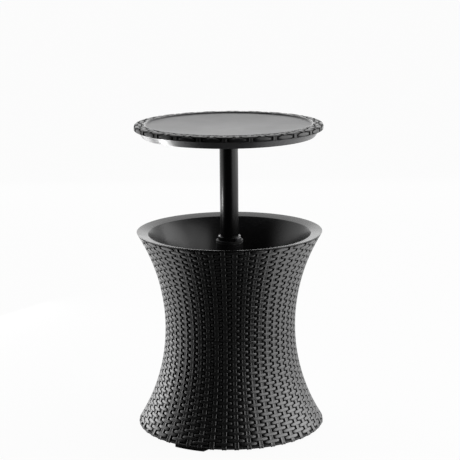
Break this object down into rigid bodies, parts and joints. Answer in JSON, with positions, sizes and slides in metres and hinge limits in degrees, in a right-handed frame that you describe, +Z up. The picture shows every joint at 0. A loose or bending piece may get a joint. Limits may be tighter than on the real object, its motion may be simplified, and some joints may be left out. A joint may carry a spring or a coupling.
{
  "type": "ice bucket coffee table",
  "caption": "Round woven-look patio side table whose top rises on a telescopic post to open an ice tub held in its flared, waisted body.",
  "frame": {"origin": "on the floor, at the centre of the body's footprint, under the post", "axes": "+Z up along the post, -Y towards the front seen in the picture, +X to the right"},
  "size_m": [0.4986, 0.4986, 0.816],
  "materials": {
    "woven_plastic": "charcoal moulded weave, satin on the strands",
    "disc_plastic": "graphite, woven-look rim and a fine-textured disc",
    "smooth_plastic": "graphite, smooth satin",
    "tub_plastic": "graphite, smooth satin",
    "post_plastic": "black, half gloss",
    "inner_plastic": "black, matt moulded",
    "rubber": "black, matt",
    "steel": "plain stainless"
  },
  "bodies": {
    "tub_body": {"upper_shell": "woven_plastic", "lower_shell": "woven_plastic", "ice_tub": "tub_plastic", "tub_chimney": "tub_plastic", "chimney_gasket": "rubber", "base_plate": "inner_plastic", "foot_front": "inner_plastic", "foot_right": "inner_plastic", "foot_rear": "inner_plastic", "column_tube": "inner_plastic", "post_bushing": "inner_plastic", "column_seal": "rubber", "drain_spout": "inner_plastic", "drain_gasket": "rubber", "drain_spacer": "rubber", "drain_nut": "inner_plastic", "foot_screw_1": "steel", "foot_screw_2": "steel", "foot_screw_3": "steel", "foot_screw_4": "steel", "foot_screw_5": "steel", "foot_screw_6": "steel", "column_screw_1": "steel", "column_screw_2": "steel", "column_screw_3": "steel"},
    "guide": {"post_guide": "inner_plastic"},
    "table": {"table_top": "disc_plastic", "table_underside": "smooth_plastic", "post_head": "inner_plastic", "head_pin": "steel", "post": "post_plastic", "guide_snap_ring": "steel", "post_end_cap": "inner_plastic", "head_screw_1": "steel", "head_screw_2": "steel", "head_screw_3": "steel", "head_screw_4": "steel"},
    "collar": {"lock_collar": "post_plastic"},
    "plug": {"drain_plug": "rubber"}
  },
  "joints": [
    {"name": "table_lift", "type": "slide", "parent": "tub_body", "child": "guide", "axis": [0, 0, 1], "range_m": [-0.2566, 0]},
    {"name": "table_turn", "type": "hinge", "parent": "guide", "child": "table", "pos_m": [0, 0, 0.426], "axis": [0, 0, 1], "continuous": true},
    {"name": "lock_turn", "type": "hinge", "parent": "tub_body", "child": "collar", "pos_m": [0, 0, 0.5104], "axis": [0, 0, 1], "range_deg": [0, 60]},
    {"name": "drain_pull", "type": "slide", "parent": "tub_body", "child": "plug", "axis": [0, 1, 0], "range_m": [0, 0.04]}
  ]
}
